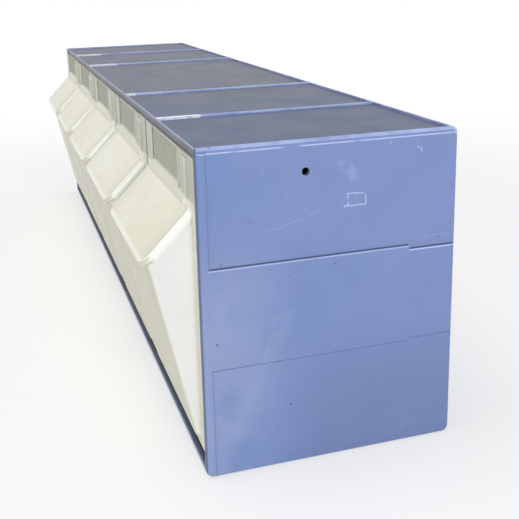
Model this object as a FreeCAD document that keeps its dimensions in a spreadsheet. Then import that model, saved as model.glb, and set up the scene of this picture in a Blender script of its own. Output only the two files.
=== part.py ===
"""Tilt-bin storage unit: one moulded housing with five tilt-out bins side by side.

Frame: millimetres, +Z up, the bins face -Y, the row of bins runs along X.
The origin is the middle of the housing's footprint, on the surface it stands on.
Inside the bodies, y is measured from the housing's front plane and z from its foot,
so each body is placed half a depth towards -Y.
"""
import FreeCAD
import Part
import Sketcher
import math
import os

BIN_COUNT = 5
SLOPE_ANGLE = 45.0                # fall of the scoops, in degrees
NEAR = 1e-4
RAILS = ("rail_1", "rail_2", "rail_3", "rail_4")

SIZES = {
    # housing
    "unit_length": 600.0,         # end face to end face
    "unit_depth": 133.0,          # front plane to back face
    "unit_height": 165.0,         # foot to top of the stacking rails
    "end_wall": 3.3,
    "back_wall": 2.2,
    "top_wall": 1.8,              # under the sunk top panels
    "partition": 2.4,
    "floor_top": 5.5,             # the cells' floor, flush with the front sill
    "floor_web": 2.0,
    "foot_rim": 6.0,              # solid rim round the hollow underside
    "foot_rib": 2.0,
    "front_setback": 3.0,         # partitions stop this far behind the front plane
    "rim_face": 4.2,              # height of the front top rim
    "rim_depth": 2.5,
    "back_round": 3.0,
    "foot_round": 4.0,
    "edge_round": 2.5,
    # top of the housing
    "rail_rise": 1.4,             # rails and edge bead above the sunk panels
    "rail_width": 2.0,
    "rail_head_width": 4.0,       # the rails' wider front stretch
    "rail_head_length": 26.0,
    "front_bead": 1.0,
    "back_bead": 3.0,
    "bead_height": 2.5,           # end bead above the ledge of the end face
    "rail_1": -205.0,             # rails' places along the housing, from its middle
    "rail_2": -97.0,
    "rail_3": 106.0,
    "rail_4": 209.0,
    # end face relief
    "relief": 0.8,
    "front_strip": 4.5,
    "band_bottom": 57.3,
    "band_drop": 57.5,            # top of the band, below the top of the housing
    "band_narrow": 2.0,           # the band loses this much at its top, behind the jog
    "jog": 107.0,                 # distance of the jog from the front plane
    # joining and wall holes
    "side_hole": 4.0,
    "side_hole_y": 53.0,
    "side_hole_drop": 15.0,       # below the top of the housing
    "wall_hole": 4.5,
    "wall_hole_drop": 25.0,
    # bin
    "side_gap": 0.3,              # bin plate to cell wall
    "top_gap": 0.8,               # bin plate to front top rim
    "plate_setback": 0.3,
    "plate": 2.0,
    "bin_wall": 1.8,
    "box_inset": 1.8,             # the box stands in from the plate's edges
    "heel_radius": 8.0,           # round foot of the bin, centred on the pivot
    "floor_gap": 0.5,
    "back_foot_y": 46.0,
    "back_foot_round": 12.0,
    "back_top_y": 118.0,
    "ceiling_gap": 0.4,
    "belly_inset": 8.0,           # the belly stands in from the plate's edges
    "crest_drop": 1.8,            # the scoop's slope leaves the plate this far under the ledge
    "belly_reach": 21.5,          # how far the belly's front stands out of the plate
    "chin_drop": 29.3,            # top of its leaning front face, below the crest
    "belly_lift": 0.2,            # its foot, above the pivot, where the plate is still upright
    "belly_step": 1.5,            # its front face, drawn on, stands out this far at that height
    "belly_toe_rise": 4.3,        # below this height over its foot it closes in to the plate
    "belly_edge_round": 2.0,
    "scoop_wall": 2.2,
    "hollow_rise": 7.8,           # its hollow ends this far above its foot
    "cap": 2.0,                   # upper layer of the scoop, with rounded edges
    "cap_setback": 0.2,           # it ends this far behind the lip of the rim below
    "cap_corner": 8.0,
    "cap_round": 1.6,
    "rim": 2.6,                   # lower layer, which flares out past it
    "rim_flare": 0.9,
    "rim_corner": 8.5,
    "rim_chamfer": 0.8,
    "lip_reach": 26.4,            # lip of the rim, out of the plate
    # label frame, across from the bin's middle
    "frame_left": 45.6,
    "window_left": 39.6,
    "window_right": 27.4,
    "clip_right": 33.6,
    "band_left": 34.4,
    "frame_right": 42.4,
    "groove_left": 43.4,
    "groove_width": 1.0,
    "groove_depth": 0.6,
    "groove_run": 2.0,            # the groove runs on this far below the label
    "label_height": 16.8,
    "label_head": 1.2,            # plate left above the label
    "label_sink": 0.8,
    "label_rise": 1.1,            # frame above the plate
    "label_lip": 0.8,             # the frame laps this far over the card
    "frame_head": 0.6,            # the frame runs on this far above the label's place
    "frame_round": 2.5,
    "clip_rise": 0.6,
    "clip_edge": 1.5,
    "clip_edge_rise": 1.0,
    "band_head": 1.6,
    "ledge_reach": 2.2,           # ledge under the label, out of the plate
    "ledge_fall": 3.6,            # its front edge, below the label
    "ramp_rise": 0.8,             # ramp beside the ledge, above the scoop's crest
    "card": 0.5,
    "card_gap": 0.3,
    "card_height": 16.5,
    # pivot
    "pin_diameter": 5.0,
    "pin_clearance": 0.05,        # radial
    "pin_engagement": 1.0,
    "socket_skin": 1.2,           # wall left outside the end sockets
    "snap_slot": 4.4,
    "slot_start": 2.0,
    "cut_margin": 10.0,           # how far cuts run past a surface that they open
}

DERIVED = {
    # housing
    "half_length": "sizes.unit_length / 2",
    "half_depth": "sizes.unit_depth / 2",
    "cell_width": "(sizes.unit_length - 2 * sizes.end_wall - 4 * sizes.partition) / 5",
    "half_cell": "derived.cell_width / 2",
    "pitch": "derived.cell_width + sizes.partition",
    "rim_bottom": "sizes.unit_height - sizes.rim_face",
    "panel_top": "sizes.unit_height - sizes.rail_rise",
    "ceiling": "derived.panel_top - sizes.top_wall",
    "cell_depth": "sizes.unit_depth - sizes.back_wall",
    "bead_ledge": "sizes.unit_height - sizes.bead_height",
    "band_top": "sizes.unit_height - sizes.band_drop",
    "side_hole_z": "sizes.unit_height - sizes.side_hole_drop",
    "wall_hole_z": "sizes.unit_height - sizes.wall_hole_drop",
    "rear_band_top": "derived.band_top - sizes.band_narrow",
    "rear_band_bottom": "sizes.band_bottom + sizes.band_narrow / 2",
    "rail_half": "sizes.rail_width / 2",
    "rail_head_half": "sizes.rail_head_width / 2",
    "foot_hollow": "sizes.floor_top - sizes.floor_web",
    # bin: plate and box
    "plate_width": "derived.cell_width - 2 * sizes.side_gap",
    "box_width": "derived.plate_width - 2 * sizes.box_inset",
    "cavity_width": "derived.box_width - 2 * sizes.bin_wall",
    "plate_back": "sizes.plate_setback + sizes.plate",
    "plate_middle": "sizes.plate_setback + sizes.plate / 2",
    "plate_top": "derived.rim_bottom - sizes.top_gap",
    "bin_bottom": "sizes.floor_top + sizes.floor_gap",
    "cavity_bottom": "derived.bin_bottom + sizes.bin_wall",
    "heel_inside": "sizes.heel_radius - sizes.bin_wall",
    "pivot_y": "sizes.plate_setback + sizes.heel_radius",
    "pivot_z": "derived.bin_bottom + sizes.heel_radius",
    "curl_end": "derived.pivot_y + sizes.plate",
    # the bin's rear top corner is the point that swings closest under the ceiling
    "swing": "derived.ceiling - sizes.ceiling_gap - derived.pivot_z",
    "back_top_z": "derived.pivot_z"
                  " + sqrt(derived.swing ^ 2 - (sizes.back_top_y - derived.pivot_y) ^ 2)",
    "back_slope": "(sizes.back_top_y - sizes.back_foot_y) / (derived.back_top_z - derived.bin_bottom)",
    "back_shift": "sizes.bin_wall * sqrt(1 + derived.back_slope ^ 2)",
    "cavity_foot_y": "sizes.back_foot_y - derived.back_shift + sizes.bin_wall * derived.back_slope",
    "cavity_top_y": "sizes.back_top_y - derived.back_shift + sizes.cut_margin * derived.back_slope",
    "cavity_top_z": "derived.back_top_z + sizes.cut_margin",
    "above_bin": "derived.plate_top + sizes.cut_margin",
    # heights on the bin's front, from the plate's top down
    "label_top": "derived.plate_top - sizes.label_head",
    "label_bottom": "derived.label_top - sizes.label_height",
    "groove_foot": "derived.label_bottom - sizes.groove_run",
    "ledge_top": "derived.label_bottom - sizes.ledge_fall",
    "belly_crest": "derived.ledge_top - sizes.crest_drop",
    "ramp_top": "derived.belly_crest + sizes.ramp_rise",
    "belly_chin": "derived.belly_crest - sizes.chin_drop",
    # bin: belly
    "belly_foot": "derived.pivot_z + sizes.belly_lift",
    "belly_toe": "derived.belly_foot + sizes.belly_toe_rise",
    "hollow_foot_z": "derived.belly_foot + sizes.hollow_rise",
    "belly_width": "derived.plate_width - 2 * sizes.belly_inset",
    "belly_half": "derived.belly_width / 2",
    "belly_hollow_width": "derived.belly_width - 2 * sizes.bin_wall",
    "cap_drop": "sizes.cap * sqrt(2)",
    "belly_root_z": "derived.belly_crest + sizes.plate / 2 - derived.cap_drop",
    "belly_front_y": "sizes.plate_setback - sizes.belly_reach",
    "belly_top_z": "derived.belly_crest - sizes.belly_reach - derived.cap_drop",
    "belly_foot_y": "sizes.plate_setback - sizes.belly_step",
    "belly_lean": "(sizes.belly_reach - sizes.belly_step) / (derived.belly_chin - derived.belly_foot)",
    "belly_toe_y": "derived.belly_foot_y - derived.belly_lean * (derived.belly_toe - derived.belly_foot)",
    "belly_shift": "sizes.bin_wall * sqrt(1 + derived.belly_lean ^ 2)",
    "hollow_lip_y": "derived.belly_front_y + sizes.bin_wall",
    "hollow_crest_z": "derived.belly_crest - sizes.scoop_wall * sqrt(2)",
    "hollow_lip_z": "derived.hollow_crest_z + derived.hollow_lip_y - sizes.plate_setback",
    "hollow_under_z": "derived.belly_foot"
                      " + (derived.belly_foot_y + derived.belly_shift - derived.hollow_lip_y)"
                      " / derived.belly_lean",
    "hollow_foot_y": "derived.belly_foot_y + derived.belly_shift"
                     " - derived.belly_lean * (derived.hollow_foot_z - derived.belly_foot)",
    "hollow_heel_z": "derived.belly_foot + sizes.bin_wall",
    "hollow_root_y": "derived.plate_back + sizes.plate / 2",
    "hollow_root_z": "derived.hollow_crest_z + derived.hollow_root_y - sizes.plate_setback",
    # layers of the scoop: the places of their undersides, and their ends down the slope
    "cap_base_y": "sizes.plate_setback + sizes.cap / sqrt(2)",
    "cap_base_z": "derived.belly_crest - sizes.cap / sqrt(2)",
    "rim_base_y": "sizes.plate_setback + (sizes.cap + sizes.rim) / sqrt(2)",
    "rim_base_z": "derived.belly_crest - (sizes.cap + sizes.rim) / sqrt(2)",
    "rim_half": "derived.belly_half + sizes.rim_flare",
    "rim_end": "sizes.lip_reach * sqrt(2)",
    "cap_end": "derived.rim_end - sizes.cap_setback",
    # label frame
    "frame_top": "derived.label_top + sizes.frame_head",
    "band_top_z": "derived.label_top - sizes.band_head",
    "ledge_y": "sizes.plate_setback - sizes.ledge_reach",
    "ledge_foot": "derived.belly_crest - sizes.ledge_reach",
    "sink_left": "sizes.window_left + sizes.label_lip",
    "sink_right": "sizes.window_right + sizes.label_lip",
    "card_back_y": "sizes.plate_setback + sizes.label_sink",
    "card_left": "derived.sink_left - sizes.card_gap",
    "card_right": "derived.sink_right - sizes.card_gap",
    # pivot
    "pin_span": "derived.cell_width + 2 * sizes.pin_engagement",
    "pin_radius": "sizes.pin_diameter / 2",
    "socket_radius": "derived.pin_radius + sizes.pin_clearance",
    "socket_span": "sizes.unit_length - 2 * sizes.relief - 2 * sizes.socket_skin",
    "slot_bottom": "derived.pivot_z - sizes.snap_slot / 2",
    "slot_top": "derived.pivot_z + sizes.snap_slot / 2",
}


def make_values(doc):
    """The sheet of driving sizes, and the values that follow from them."""
    sheet = doc.addObject("Spreadsheet::Sheet", "sizes")
    for row, (alias, size) in enumerate(SIZES.items(), start=1):
        sheet.set(f"A{row}", alias)
        sheet.set(f"B{row}", str(size))
        sheet.setAlias(f"B{row}", alias)
    derived = doc.addObject("App::VarSet", "derived")
    doc.recompute()
    for name, formula in DERIVED.items():
        derived.addProperty("App::PropertyFloat", name)
        derived.setExpression(name, formula)
        doc.recompute()
    return sheet, derived


DOC = FreeCAD.newDocument("tilt_bin_unit")
SHEET, VALUES = make_values(DOC)


def terms(text):
    """A sum such as "half_length - 2 * pitch" as pairs of a factor and a size's name."""
    pairs = []
    for term in text.replace(" - ", " + -").split(" + "):
        factor, _, name = term.rpartition(" * ")
        if name.startswith("-"):
            factor, name = "-1", name[1:]
        pairs.append((float(factor or 1), name))
    return pairs


def size(name):
    if name == "0":
        return 0.0
    return float(getattr(SHEET if name in SIZES else VALUES, name))


def value(text):
    """The number that a sum of named sizes comes to."""
    return sum(factor * size(name) for factor, name in terms(text))


def formula(text):
    """The same sum as an expression on the sheet, which a property or a constraint is bound to."""
    parts = []
    for factor, name in terms(text):
        owner = "" if name == "0" else "sizes." if name in SIZES else "derived."
        parts.append(f"({factor}) * {owner}{name}")
    return " + ".join(parts)


# ---- sketches -----------------------------------------------------------------------------

def origin_plane(body, role):
    return [plane for plane in body.Origin.OriginFeatures if plane.Role == role][0]


def new_sketch(body, name, role, offset="0"):
    """A sketch on one of the body's origin planes, moved along that plane's normal.

    XY faces +Z, YZ faces +X and XZ faces -Y.
    """
    sketch = body.newObject("Sketcher::SketchObject", name)
    sketch.AttachmentSupport = [(origin_plane(body, role), "")]
    sketch.MapMode = "FlatFace"
    if offset != "0":
        sketch.setExpression("AttachmentOffset.Base.z", formula(offset))
    return sketch


def bind(sketch, kind, *ends, text):
    """A dimension of the sketch that follows the named sizes."""
    index = sketch.addConstraint(Sketcher.Constraint(kind, *ends, value(text)))
    sketch.setExpression(f"Constraints[{index}]", formula(text))


def hold_point(sketch, geometry, end, across, up):
    bind(sketch, "DistanceX", -1, 1, geometry, end, text=across)
    bind(sketch, "DistanceY", -1, 1, geometry, end, text=up)


def rounded_corner(before, corner, after, radius):
    """The two ends and the centre of the arc that rounds a corner."""
    back = (before - corner).normalize()
    on = (after - corner).normalize()
    half_angle = back.getAngle(on) / 2
    run = radius / math.tan(half_angle)
    centre = corner + (back + on).normalize() * (radius / math.sin(half_angle))
    return corner + back * run, corner + on * run, centre


def add_arc(sketch, start, end, centre):
    """The arc from start to end, and which of its ends is the start: arcs run anticlockwise."""
    first, last = start - centre, end - centre
    left_turn = first.cross(last).z > 0
    if not left_turn:
        first, last = last, first
    begin = math.atan2(first.y, first.x)
    finish = begin + first.getAngle(last)
    ring = Part.Circle(centre, FreeCAD.Vector(0, 0, 1), first.Length)
    arc = sketch.addGeometry(Part.ArcOfCircle(ring, begin, finish), False)
    return arc, (1, 2) if left_turn else (2, 1)


def outline(sketch, corners):
    """A closed outline of straight lines. A corner is (across, up) or (across, up, radius)."""
    count = len(corners)
    points = [FreeCAD.Vector(value(c[0]), value(c[1]), 0) for c in corners]
    ends = []
    for k, corner in enumerate(corners):
        if len(corner) == 3:
            after = points[(k + 1) % count]
            ends.append(rounded_corner(points[k - 1], points[k], after, value(corner[2])))
        else:
            ends.append((points[k], points[k]))
    lines = []
    for k in range(count):
        line = Part.LineSegment(ends[k][1], ends[(k + 1) % count][0])
        lines.append(sketch.addGeometry(line, False))
    for k, corner in enumerate(corners):
        if len(corner) == 2:
            sketch.addConstraint(Sketcher.Constraint("Coincident", lines[k - 1], 2, lines[k], 1))
            hold_point(sketch, lines[k], 1, corner[0], corner[1])
            continue
        arc, (first, last) = add_arc(sketch, *ends[k])
        sketch.addConstraint(Sketcher.Constraint("Tangent", lines[k - 1], 2, arc, first))
        sketch.addConstraint(Sketcher.Constraint("Tangent", lines[k], 1, arc, last))
        bind(sketch, "Radius", arc, text=corner[2])
        tip = sketch.addGeometry(Part.Point(points[k]), True)
        sketch.addConstraint(Sketcher.Constraint("PointOnObject", tip, 1, lines[k - 1]))
        sketch.addConstraint(Sketcher.Constraint("PointOnObject", tip, 1, lines[k]))
        hold_point(sketch, tip, 1, corner[0], corner[1])


def rectangle(sketch, left, bottom, right, top):
    outline(sketch, [(left, bottom), (right, bottom), (right, top), (left, top)])


def circle(sketch, across, up, radius):
    middle = FreeCAD.Vector(value(across), value(up), 0)
    ring = sketch.addGeometry(Part.Circle(middle, FreeCAD.Vector(0, 0, 1), value(radius)), False)
    hold_point(sketch, ring, 3, across, up)
    bind(sketch, "Radius", ring, text=radius)


# ---- features -----------------------------------------------------------------------------

def recompute(feature):
    DOC.recompute()
    if "Invalid" in feature.State or "Error" in feature.State or not feature.Shape.isValid():
        raise ValueError(f"{feature.Label} is {feature.State}")


def extrude(body, kind, name, sketch, length, both_ways=False, reverse=False):
    """A Pad or a Pocket of a named length. It must change the body's volume."""
    before = 0 if body.Shape.isNull() else body.Shape.Volume
    feature = body.newObject(f"PartDesign::{kind}", name)
    feature.Profile = sketch
    feature.Midplane = both_ways
    feature.Reversed = reverse
    feature.setExpression("Length", formula(length))
    recompute(feature)
    change = body.Shape.Volume - before
    if (change <= 0) if kind == "Pad" else (change >= 0):
        raise ValueError(f"{body.Label}: {name} changes the volume by {change:.3f}")
    return feature


def pad(body, name, sketch, length, both_ways=False, reverse=False):
    return extrude(body, "Pad", name, sketch, length, both_ways, reverse)


def pocket(body, name, sketch, length, both_ways=False, reverse=False):
    return extrude(body, "Pocket", name, sketch, length, both_ways, reverse)


def soften(body, kind, name, measure, wanted):
    """A Fillet or a Chamfer on the tip's edges that the test picks by their two ends."""
    tip = body.Tip
    names = []
    for number, edge in enumerate(tip.Shape.Edges, start=1):
        if len(edge.Vertexes) == 2 and wanted(edge.Vertexes[0].Point, edge.Vertexes[1].Point):
            names.append(f"Edge{number}")
    if not names:
        raise ValueError(f"{body.Label}: {name} finds no edge")
    feature = body.newObject(f"PartDesign::{kind}", name)
    feature.Base = (tip, names)
    feature.setExpression("Radius" if kind == "Fillet" else "Size", formula(measure))
    recompute(feature)


def near(a, b):
    return abs(a - b) < NEAR


def new_body(label, across):
    """A body whose own y runs from the front plane and z from the foot."""
    body = DOC.addObject("PartDesign::Body", label)
    body.Label = label
    body.setExpression("Placement.Base.x", formula(across))
    body.setExpression("Placement.Base.y", formula("-half_depth"))
    return body


# ---- housing ------------------------------------------------------------------------------

def cell_middle(index):
    return f"{index - (BIN_COUNT - 1) / 2} * pitch"


def sunk_panel(sketch, left_rail, right_rail):
    """The outline between two rails, whose heads stand wider at the front. None is an end."""
    left, right = left_rail or "-half_length + end_wall", right_rail or "half_length - end_wall"
    back = "unit_depth - back_bead"
    corners = []
    if left_rail:
        corners += [(f"{left} + rail_half", back), (f"{left} + rail_half", "rail_head_length"),
                    (f"{left} + rail_head_half", "rail_head_length + rail_half - rail_head_half"),
                    (f"{left} + rail_head_half", "front_bead")]
    else:
        corners += [(left, back), (left, "front_bead")]
    if right_rail:
        corners += [(f"{right} - rail_head_half", "front_bead"),
                    (f"{right} - rail_head_half", "rail_head_length + rail_half - rail_head_half"),
                    (f"{right} - rail_half", "rail_head_length"), (f"{right} - rail_half", back)]
    else:
        corners += [(right, "front_bead"), (right, back)]
    outline(sketch, corners)


def housing_block(body):
    profile = new_sketch(body, "housing_profile", "YZ_Plane")
    outline(profile, [("0", "0", "foot_round"), ("unit_depth", "0", "foot_round"),
                      ("unit_depth", "unit_height", "edge_round"), ("0", "unit_height")])
    pad(body, "housing_block", profile, "unit_length", both_ways=True)
    depth, foot, half = value("unit_depth"), value("foot_round"), value("half_length")
    soften(body, "Fillet", "back_edges", "back_round", lambda a, b:
           near(a.y, depth) and near(b.y, depth) and near(a.x, b.x) and near(abs(a.x), half))


def housing_cells(body):
    mouth = new_sketch(body, "mouth_outline", "XZ_Plane")
    rectangle(mouth, "-half_length + end_wall", "floor_top", "half_length - end_wall", "rim_bottom")
    pocket(body, "mouth", mouth, "front_setback")
    cells = new_sketch(body, "cell_outlines", "XZ_Plane", "-rim_depth")
    for index in range(BIN_COUNT):
        middle = cell_middle(index)
        rectangle(cells, f"{middle} - half_cell", "floor_top", f"{middle} + half_cell", "ceiling")
    pocket(body, "cells", cells, "cell_depth - rim_depth")


def housing_top(body):
    panels = new_sketch(body, "panel_outlines", "XY_Plane", "unit_height")
    stops = (None,) + RAILS + (None,)
    for left_rail, right_rail in zip(stops, stops[1:]):
        sunk_panel(panels, left_rail, right_rail)
    pocket(body, "sunk_panels", panels, "rail_rise")


def housing_foot(body):
    """The underside is hollow, so that the next unit's rails and bead nest in it."""
    hollows = new_sketch(body, "foot_outlines", "XY_Plane")
    for index in range(BIN_COUNT):
        middle = cell_middle(index)
        left, right = f"{middle} - half_cell", f"{middle} + half_cell"
        if index == 0:
            left = "-half_length + foot_rim"
        if index == BIN_COUNT - 1:
            right = "half_length - foot_rim"
        rectangle(hollows, left, "foot_rim", right, "half_depth - foot_rib")
        rectangle(hollows, left, "half_depth + foot_rib", right, "unit_depth - foot_rim")
    pocket(body, "foot_hollows", hollows, "foot_hollow", reverse=True)


def housing_ends(body):
    """Relief of the end faces: sunk upper and lower panels round a proud band, and the holes."""
    relief = new_sketch(body, "relief_outlines", "YZ_Plane", "half_length")
    outline(relief, [("front_strip", "band_top"), ("jog", "band_top"), ("jog", "rear_band_top"),
                     ("unit_depth + cut_margin", "rear_band_top"),
                     ("unit_depth + cut_margin", "bead_ledge"), ("front_strip", "bead_ledge")])
    outline(relief, [("front_strip", "-cut_margin"), ("unit_depth + cut_margin", "-cut_margin"),
                     ("unit_depth + cut_margin", "rear_band_bottom"), ("jog", "rear_band_bottom"),
                     ("jog", "band_bottom"), ("front_strip", "band_bottom")])
    sunk = pocket(body, "end_relief", relief, "relief")
    bead = new_sketch(body, "bead_outline", "YZ_Plane", "half_length")
    rectangle(bead, "-cut_margin", "bead_ledge", "unit_depth + cut_margin", "unit_height + cut_margin")
    ledge = pocket(body, "end_bead", bead, "relief")
    hole = new_sketch(body, "side_hole_outline", "YZ_Plane", "half_length")
    circle(hole, "side_hole_y", "side_hole_z", "0.5 * side_hole")
    bore = pocket(body, "side_hole", hole, "2 * end_wall")
    before = body.Shape.Volume
    mirror = body.newObject("PartDesign::Mirrored", "far_end")
    mirror.Originals = [sunk, ledge, bore]
    mirror.MirrorPlane = (origin_plane(body, "YZ_Plane"), [""])
    body.Tip = mirror
    DOC.recompute()
    if body.Shape.Volume >= before:
        raise ValueError("the far end of the housing has no relief")


def housing_sockets(body):
    """Round sockets for the bins' pins, with a narrower slot that the pins snap through."""
    sockets = new_sketch(body, "socket_outline", "YZ_Plane")
    circle(sockets, "pivot_y", "pivot_z", "socket_radius")
    pocket(body, "sockets", sockets, "socket_span", both_ways=True)
    slots = new_sketch(body, "slot_outline", "YZ_Plane")
    rectangle(slots, "slot_start", "slot_bottom", "pivot_y", "slot_top")
    pocket(body, "snap_slots", slots, "socket_span", both_ways=True)


def housing_wall_holes(body):
    holes = new_sketch(body, "wall_hole_outlines", "XZ_Plane", "-unit_depth + 2 * back_wall")
    for index in (0, BIN_COUNT - 1):
        circle(holes, cell_middle(index), "wall_hole_z", "0.5 * wall_hole")
    pocket(body, "wall_holes", holes, "3 * back_wall")


def make_housing():
    body = new_body("housing", "0")
    housing_block(body)
    housing_cells(body)
    housing_top(body)
    housing_foot(body)
    housing_ends(body)
    housing_sockets(body)
    housing_wall_holes(body)
    return body


# ---- tilt bins ----------------------------------------------------------------------------

def bin_box(body):
    """Side view of the box: upright front, heel round the pivot, sloping back."""
    profile = new_sketch(body, "box_profile", "YZ_Plane")
    outline(profile, [("plate_setback", "plate_top"),
                      ("plate_setback", "bin_bottom", "heel_radius"),
                      ("back_foot_y", "bin_bottom", "back_foot_round"),
                      ("back_top_y", "back_top_z"), ("plate_back", "plate_top")])
    pad(body, "box", profile, "box_width", both_ways=True)


def bin_plate(body):
    """The front plate stands past the box on both sides, and curls under round the pivot."""
    profile = new_sketch(body, "plate_profile", "YZ_Plane")
    outline(profile, [("plate_setback", "plate_top"),
                      ("plate_setback", "bin_bottom", "heel_radius"),
                      ("curl_end", "bin_bottom"), ("curl_end", "cavity_bottom"),
                      ("plate_back", "cavity_bottom", "heel_inside"), ("plate_back", "plate_top")])
    pad(body, "plate", profile, "plate_width", both_ways=True)


def bin_belly(body):
    """The part that stands out under the scoop, with an upright under the lip."""
    profile = new_sketch(body, "belly_profile", "YZ_Plane")
    outline(profile, [("plate_middle", "belly_root_z"), ("belly_front_y", "belly_top_z"),
                      ("belly_front_y", "belly_chin"), ("belly_toe_y", "belly_toe"),
                      ("plate_setback", "belly_foot"), ("plate_middle", "belly_foot")])
    pad(body, "belly", profile, "belly_width", both_ways=True)
    half, front, top = value("belly_half"), value("plate_setback"), value("belly_top_z")
    soften(body, "Fillet", "belly_edges", "belly_edge_round", lambda a, b:
           near(abs(a.x), half) and near(a.x, b.x) and min(a.y, b.y) < front - NEAR
           and max(a.z, b.z) < top + NEAR)


def scoop_layer(body, name, half, end, corner):
    """A layer of the scoop. Its sketch lies on its underside, parallel to the slope."""
    sketch = body.newObject("Sketcher::SketchObject", f"{name}_outline")
    sketch.AttachmentSupport = [(origin_plane(body, "XY_Plane"), "")]
    sketch.MapMode = "FlatFace"
    slope = FreeCAD.Rotation(FreeCAD.Vector(1, 0, 0), SLOPE_ANGLE)
    sketch.AttachmentOffset = FreeCAD.Placement(FreeCAD.Vector(), slope)
    sketch.setExpression("AttachmentOffset.Base.y", formula(f"{name}_base_y"))
    sketch.setExpression("AttachmentOffset.Base.z", formula(f"{name}_base_z"))
    outline(sketch, [(f"-{half}", "plate"), (f"-{half}", f"-{end}", corner),
                     (half, f"-{end}", corner), (half, "plate")])
    pad(body, f"scoop_{name}", sketch, name)


def soften_layer(body, kind, name, measure, above):
    """Round or bevel the upper edges of a layer whose top crosses the plate at this height."""
    drop, front = above - value("plate_setback"), value("ledge_y")
    soften(body, kind, name, measure, lambda a, b:
           near(a.z - a.y, drop) and near(b.z - b.y, drop) and min(a.y, b.y) < front)


def bin_scoop(body):
    """The chute over the belly: a wider rim under a cap with rounded edges."""
    crest, drop = value("belly_crest"), value("cap_drop")
    scoop_layer(body, "rim", "rim_half", "rim_end", "rim_corner")
    soften_layer(body, "Chamfer", "rim_bevel", "rim_chamfer", crest - drop)
    scoop_layer(body, "cap", "belly_half", "cap_end", "cap_corner")
    soften_layer(body, "Fillet", "cap_rounding", "cap_round", crest)


def bin_pins(body):
    pins = new_sketch(body, "pin_outline", "YZ_Plane")
    circle(pins, "pivot_y", "pivot_z", "pin_radius")
    pad(body, "pins", pins, "pin_span", both_ways=True)


def bin_hollow(body):
    cavity = new_sketch(body, "cavity_profile", "YZ_Plane")
    outline(cavity, [("plate_back", "above_bin"), ("plate_back", "cavity_bottom", "heel_inside"),
                     ("cavity_foot_y", "cavity_bottom", "back_foot_round - bin_wall"),
                     ("cavity_top_y", "cavity_top_z"), ("cavity_top_y", "above_bin")])
    pocket(body, "cavity", cavity, "cavity_width", both_ways=True)
    hollow = new_sketch(body, "belly_hollow_profile", "YZ_Plane")
    outline(hollow, [("hollow_root_y", "hollow_root_z"), ("hollow_lip_y", "hollow_lip_z"),
                     ("hollow_lip_y", "hollow_under_z"), ("hollow_foot_y", "hollow_foot_z"),
                     ("hollow_root_y", "hollow_heel_z")])
    pocket(body, "belly_hollow", hollow, "belly_hollow_width", both_ways=True)


def label_ledge(body):
    """A ramp across the head of the scoop, and the sloping ledge that the label stands on."""
    ramp = new_sketch(body, "ramp_profile", "YZ_Plane")
    outline(ramp, [("plate_middle", "ramp_top"), ("plate_setback", "ramp_top"),
                   ("ledge_y", "ledge_foot"), ("plate_middle", "ledge_foot")])
    pad(body, "crest_ramp", ramp, "belly_width", both_ways=True)
    ledge = new_sketch(body, "ledge_profile", "YZ_Plane", "-frame_left")
    outline(ledge, [("plate_middle", "label_bottom"), ("ledge_y", "ledge_top"),
                    ("ledge_y", "ledge_foot"), ("plate_middle", "ledge_foot")])
    pad(body, "label_ledge", ledge, "frame_left + frame_right")


def label_frame(body):
    """Raised ribs beside the label, the clip at its right, and the sunk place of the card."""
    ribs = new_sketch(body, "rib_outlines", "XZ_Plane", "-plate_middle")
    rectangle(ribs, "-frame_left", "ledge_top", "-window_left", "frame_top")
    outline(ribs, [("band_left", "ledge_top"), ("frame_right", "ledge_top"),
                   ("frame_right", "band_top_z", "frame_round"), ("band_left", "band_top_z")])
    pad(body, "label_ribs", ribs, "label_rise + 0.5 * plate")
    clip = new_sketch(body, "clip_outline", "XZ_Plane", "-plate_middle")
    outline(clip, [("window_right", "ledge_top"), ("clip_right", "ledge_top"),
                   ("clip_right", "frame_top", "frame_round"), ("window_right", "frame_top")])
    pad(body, "label_clip", clip, "clip_rise + 0.5 * plate")
    edge = new_sketch(body, "clip_edge_outline", "XZ_Plane", "-plate_middle")
    rectangle(edge, "window_right", "ledge_top", "window_right + clip_edge", "frame_top - frame_round")
    pad(body, "clip_edge", edge, "clip_edge_rise + 0.5 * plate")
    sink = new_sketch(body, "label_sink_outline", "XZ_Plane", "-plate_setback")
    rectangle(sink, "-sink_left", "label_bottom", "sink_right", "label_top")
    pocket(body, "label_sink", sink, "label_sink")
    groove = new_sketch(body, "groove_outline", "XZ_Plane", "-plate_setback")
    rectangle(groove, "groove_left", "groove_foot", "groove_left + groove_width", "label_top")
    pocket(body, "frame_groove", groove, "groove_depth")


def make_bin(index):
    body = new_body(f"tilt_bin_{index + 1}", cell_middle(index))
    bin_box(body)
    bin_plate(body)
    bin_belly(body)
    bin_scoop(body)
    bin_pins(body)
    label_ledge(body)
    bin_hollow(body)
    label_frame(body)
    return body


def make_card(index):
    """The blank label insert, flat on the sunk face and standing on the frame's ledge."""
    body = new_body(f"label_card_{index + 1}", cell_middle(index))
    outline_sketch = new_sketch(body, "card_outline", "XZ_Plane", "-card_back_y")
    rectangle(outline_sketch, "-card_left", "label_bottom", "card_right",
              "label_bottom + card_height")
    pad(body, "card", outline_sketch, "card")
    return body


# ---- the whole unit -----------------------------------------------------------------------

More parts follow.
